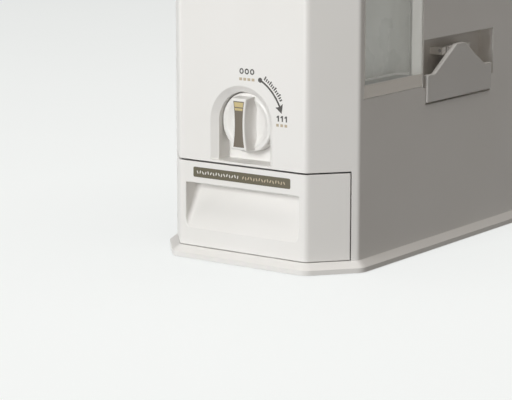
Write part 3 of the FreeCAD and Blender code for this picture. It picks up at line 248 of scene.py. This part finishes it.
def ellipse(cx, cz, rx, rz, tilt=0.0, n=24):
    t = math.radians(tilt)
    pts = []
    for k in range(n):
        a = 2 * math.pi * k / n
        x, z = rx * math.cos(a), rz * math.sin(a)
        pts.append((cx + x * math.cos(t) - z * math.sin(t), cz + x * math.sin(t) + z * math.cos(t)))
    return pts


def bar(cx, cz, w, h):
    return [(cx - w / 2, cz - h / 2), (cx + w / 2, cz - h / 2), (cx + w / 2, cz + h / 2), (cx - w / 2, cz + h / 2)]


KZ, R = 120.4, 43.0  # knob axis and radius of the printed arc


def polar(r, deg):
    """Point at radius r from the knob axis, deg clockwise from straight up."""
    a = math.radians(deg)
    return (r * math.sin(a), KZ + r * math.cos(a))


PF, PB = Y0 - 0.06, Y0 + 0.04

steps = 40
arc = [polar(R + 0.8, 27 + 38.5 * k / steps) for k in range(steps + 1)]
arc += [polar(R - 0.8, 27 + 38.5 * k / steps) for k in range(steps, -1, -1)]
prism("turn_arrow_line", [arc], PF, PB, "print_dark", "casing")
prism("turn_arrow_dot", [ellipse(*polar(R, 27), 2.1, 2.1)], PF - 0.005, PB, "print_dark", "casing")
prism("turn_arrow_head", [[polar(R, 73.6), polar(R - 4.1, 64.2), polar(R, 65.6), polar(R + 4.1, 64.2)]],
      PF - 0.005, PB, "print_dark", "casing")

ticks = []
for k in range(12):
    d = 31.5 + 2.6 * k
    w = 0.72
    r1 = 49.0 if k % 3 == 0 else 47.9
    ticks.append([polar(45.2, d - w), polar(45.2, d + w), polar(r1, d + w), polar(r1, d - w)])
prism("turn_scale_ticks", ticks, PF, PB, "print_dark", "casing")


def numeral(cx, cz, w, h, t, which):
    """Heavy upright numeral: a ring for 0, a flagged stroke for 1."""
    if which == 0:
        return (ellipse(cx, cz, w / 2, h / 2, 0, 36), ellipse(cx, cz, w / 2 - t, h / 2 - t, 0, 36))
    x, z0, z1 = cx + t * 0.3, cz - h / 2, cz + h / 2
    return [(x - t / 2, z0), (x + t / 2, z0), (x + t / 2, z1), (x - t / 2, z1), (x - t / 2 - 1.4, z1 - 1.3), (x - t / 2 - 0.8, z1 - 2.1), (x - t / 2, z1 - 1.5)]


# plain numerals in threes, 0 for shut and 1 for open, each over a row of tan dashes
prism("numeral_zero", [numeral(6.0 + dx, 164.9, 4.3, 4.9, 1.1, 0) for dx in (-5.4, 0.0, 5.4)], PF, PB, "print_dark", "casing")
prism("numeral_one", [numeral(41.6 + dx, 128.4, 4.0, 4.9, 1.25, 1) for dx in (-4.0, 0.0, 4.0)], PF, PB, "print_dark", "casing")
prism("dashes_zero", [bar(6.0 + dx, 158.3, 2.9, 2.3) for dx in (-6.3, -2.1, 2.1, 6.3)], PF, PB, "print_tan", "casing")
prism("dashes_one", [bar(41.3 + dx, 122.8, 2.6, 2.3) for dx in (-4.2, 0.0, 4.2)], PF, PB, "print_tan", "casing")

# grain shaped pips on the drawer strip, pale then tan
SF, SB = Y0 - 0.15 - 0.05, Y0 - 0.15 + 0.04
tilts = (24, -18, 31, -26, 15, -32, 20, -12)


def pips(x0, x1, count, shift):
    return [ellipse(x0 + (x1 - x0) * k / (count - 1), 74.9 + 0.35 * math.sin(1.9 * k + shift), 0.6, 1.5, tilts[(k + shift) % 8])
            for k in range(count)]


prism("strip_pips_pale", pips(-45.5, -3.5, 16, 0), SF, SB, "print_pale", "drawer")
prism("strip_pips_tan", pips(2.0, 44.0, 16, 3), SF, SB, "print_tan", "drawer")


# ---------------------------------------------------------------- painted-shade floor sheet and painted-highlight bead inside the window liner
def slab(name, loop, z0, z1, mat, body):
    """Closed flat piece from a plan loop of (x, y)."""
    bm = bmesh.new()
    lo = [bm.verts.new((x * MM, y * MM, z0 * MM)) for x, y in loop]
    hi = [bm.verts.new((x * MM, y * MM, z1 * MM)) for x, y in loop]
    bm.faces.new(hi)
    bm.faces.new(lo[::-1])
    for a in range(len(loop)):
        c = (a + 1) % len(loop)
        bm.faces.new((lo[a], lo[c], hi[c], hi[a]))
    bmesh.ops.recalc_face_normals(bm, faces=bm.faces)
    me = bpy.data.meshes.new(name)
    bm.to_mesh(me)
    bm.free()
    me.materials.append(MAT[mat])
    o = bpy.data.objects.new(name, me)
    scene.collection.objects.link(o)
    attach(o, body)
    return o


YS, XL, RL = Y0 + 33.0, 79.5, 14.0  # side datum, liner wall and the radius of its rear corner


def liner_path(inset):
    """Foot of the liner wall from front to rear, moved towards the pane by inset."""
    pts = [(XL + inset, YS + 9.2 + inset), (XL + inset, YS + 40.0), (XL + inset, YS + 74.0)]
    for k in range(1, 13):
        a = math.radians(72.0 * k / 12)
        pts.append((XL + RL - (RL - inset) * math.cos(a), YS + 74.0 + (RL - inset) * math.sin(a)))
    return pts


# dark sheet over the liner's shelf: painted shade where the white shelf lies in shadow
foot = liner_path(0.04)
slab("liner_floor_painted_shade", [(92.3, YS + 9.3)] + foot + [(92.3, foot[-1][1] - 0.1)], 155.45, 155.75, "liner_floor_painted_shade", "casing")
# pale bead along the foot of the liner wall: a painted highlight standing for the glint on the fillet between wall and
# floor
outer, inner = liner_path(0.05), liner_path(1.6)
slab("liner_highlight_bead", outer + inner[::-1], 155.76, 157.4, "bead_painted_highlight", "casing")
# taupe ring inside the pane, over the rebated band around the window opening
ring_o = [(YS + 8.7, 144.4), (YS + 99.8, 144.4), (YS + 99.8, 321.8), (YS + 8.7, 321.8)]
ring_i = [(YS + 9.5, 155.4), (YS + 99.5, 155.4), (YS + 99.5, 311.0), (YS + 9.5, 311.0)]
bm = bmesh.new()
rows = [[bm.verts.new((x * MM, y * MM, z * MM)) for y, z in loop] for x in (94.55, 94.75) for loop in (ring_o, ring_i)]
for a in range(4):
    c = (a + 1) % 4
    for p, q in ((0, 1), (1, 3), (3, 2), (2, 0)):
        bm.faces.new((rows[p][a], rows[p][c], rows[q][c], rows[q][a]))
bmesh.ops.recalc_face_normals(bm, faces=bm.faces)
border_mesh = bpy.data.meshes.new("window_border")
bm.to_mesh(border_mesh)
bm.free()
border_mesh.materials.append(MAT["border"])
border = bpy.data.objects.new("window_border", border_mesh)
scene.collection.objects.link(border)
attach(border, "casing")


# ---------------------------------------------------------------- studio
floor_mesh = bpy.data.meshes.new("floor")
floor_mesh.from_pydata([(-9, -9, 0), (9, -9, 0), (9, 9, 0), (-9, 9, 0)], [], [(0, 1, 2, 3)])
floor = bpy.data.objects.new("floor", floor_mesh)
scene.collection.objects.link(floor)
fm, fnt, fb = new_mat("floor_pale")
fnt.links.new(ramp(fnt, noise(fnt, coords(fnt), 3.0, 2.0), (0.245, 0.250, 0.248), (0.250, 0.255, 0.253)), fb.inputs["Base Color"])
fb.inputs["Roughness"].default_value = 0.9
fb.inputs["Specular IOR Level"].default_value = 0.1
fb.inputs["Emission Color"].default_value = (0.97, 0.99, 0.98, 1)
fb.inputs["Emission Strength"].default_value = 0.715
floor_mesh.materials.append(fm)
floor.visible_diffuse = False

world = bpy.data.worlds.new("world")
scene.world = world
world.use_nodes = True
wn = world.node_tree
wn.nodes.clear()
w_out = wn.nodes.new("ShaderNodeOutputWorld")
w_mix = wn.nodes.new("ShaderNodeMixShader")
w_path = wn.nodes.new("ShaderNodeLightPath")
w_fill = wn.nodes.new("ShaderNodeBackground")
w_back = wn.nodes.new("ShaderNodeBackground")
w_fill.inputs["Color"].default_value = (1.0, 0.922, 0.845, 1)
w_fill.inputs["Strength"].default_value = 0.100
w_back.inputs["Color"].default_value = (0.89, 0.905, 0.897, 1)
w_back.inputs["Strength"].default_value = 1.0
wn.links.new(w_path.outputs["Is Camera Ray"], w_mix.inputs["Fac"])
wn.links.new(w_fill.outputs[0], w_mix.inputs[1])
wn.links.new(w_back.outputs[0], w_mix.inputs[2])
wn.links.new(w_mix.outputs[0], w_out.inputs["Surface"])


def area(name, loc, target, size, watts, colour):
    d = bpy.data.lights.new(name, "AREA")
    d.shape = "RECTANGLE"
    d.size, d.size_y = size
    d.energy = watts
    d.color = colour
    o = bpy.data.objects.new(name, d)
    o.location = loc
    dx, dy, dz = (t - l for t, l in zip(target, loc))
    o.rotation_euler = (math.atan2(math.hypot(dx, dy), -dz), 0.0, math.atan2(dy, dx) - math.pi / 2)
    scene.collection.objects.link(o)
    return o


area("key", (-0.10, -3.40, 1.24), (0, -0.1, 0.12), (1.0, 0.85), 62.0, (0.976, 0.993, 1.0))
area("low", (-0.10, -3.50, 0.20), (0, -0.17, 0.20), (1.1, 0.34), 29.5, (0.978, 0.993, 1.0))
area("top", (0.25, 0.15, 2.4), (0, 0.151, 0), (2.2, 2.2), 35.0, (1.0, 0.972, 0.935))
area("left", (-3.0, -1.1, 0.32), (0, -0.1, 0.18), (1.4, 0.5), 19.0, (1.0, 0.995, 0.98))
area("right", (2.3, -2.2, 0.9), (0.05, -0.15, 0.15), (1.2, 1.2), 5.2, (1.0, 0.88, 0.78))
